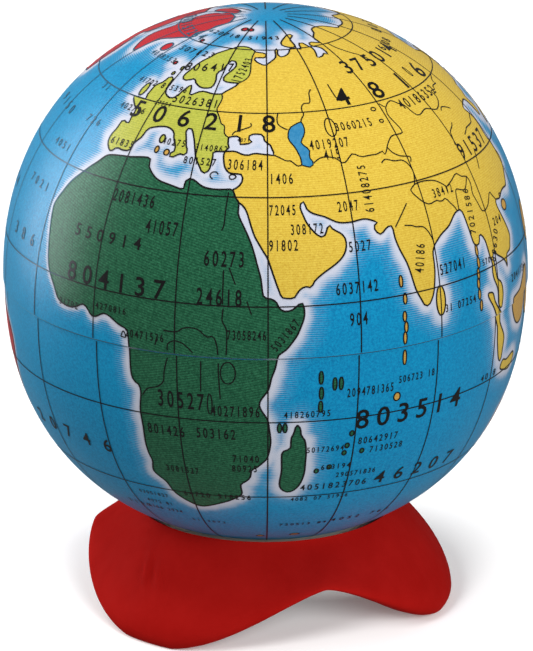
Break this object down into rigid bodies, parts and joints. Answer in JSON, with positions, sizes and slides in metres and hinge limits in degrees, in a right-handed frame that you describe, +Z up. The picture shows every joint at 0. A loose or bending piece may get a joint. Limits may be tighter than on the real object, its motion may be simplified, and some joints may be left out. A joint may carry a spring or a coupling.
{
  "type": "desk globe pencil sharpener",
  "caption": "Small tin desk globe that spins on a three-footed base, lifts off to empty, and holds an upright pencil sharpener inside.",
  "frame": {"origin": "on the surface that the base stands on, under the globe's vertical axis", "axes": "+Z up along the globe's turning axis; -Y faces the viewer, with Africa and Arabia of the printed map in front at rest; +X to the viewer's right"},
  "size_m": [0.06, 0.06, 0.07],
  "materials": {
    "printed_tin": "printed tinplate map under satin varnish",
    "red_plastic": "satin moulded plastic with a fine grain",
    "white_plastic": "plain moulded plastic",
    "black_plastic": "plain moulded plastic",
    "light_alloy": "milled light alloy",
    "blade_steel": "ground steel",
    "screw_steel": "plated steel"
  },
  "bodies": {
    "stand": {"base": "red_plastic", "sharpener_holder": "black_plastic", "sharpener_body": "light_alloy", "blade": "blade_steel", "blade_screw": "screw_steel"},
    "ring": {"turn_ring": "white_plastic"},
    "globe": {"upper_shell": "printed_tin", "lower_shell": "printed_tin"}
  },
  "joints": [
    {"name": "globe_lift", "type": "slide", "parent": "stand", "child": "ring", "axis": [0, 0, 1], "range_m": [0, 0.035]},
    {"name": "globe_spin", "type": "hinge", "parent": "ring", "child": "globe", "pos_m": [0, 0, 0.0393], "axis": [0, 0, 1], "continuous": true}
  ]
}
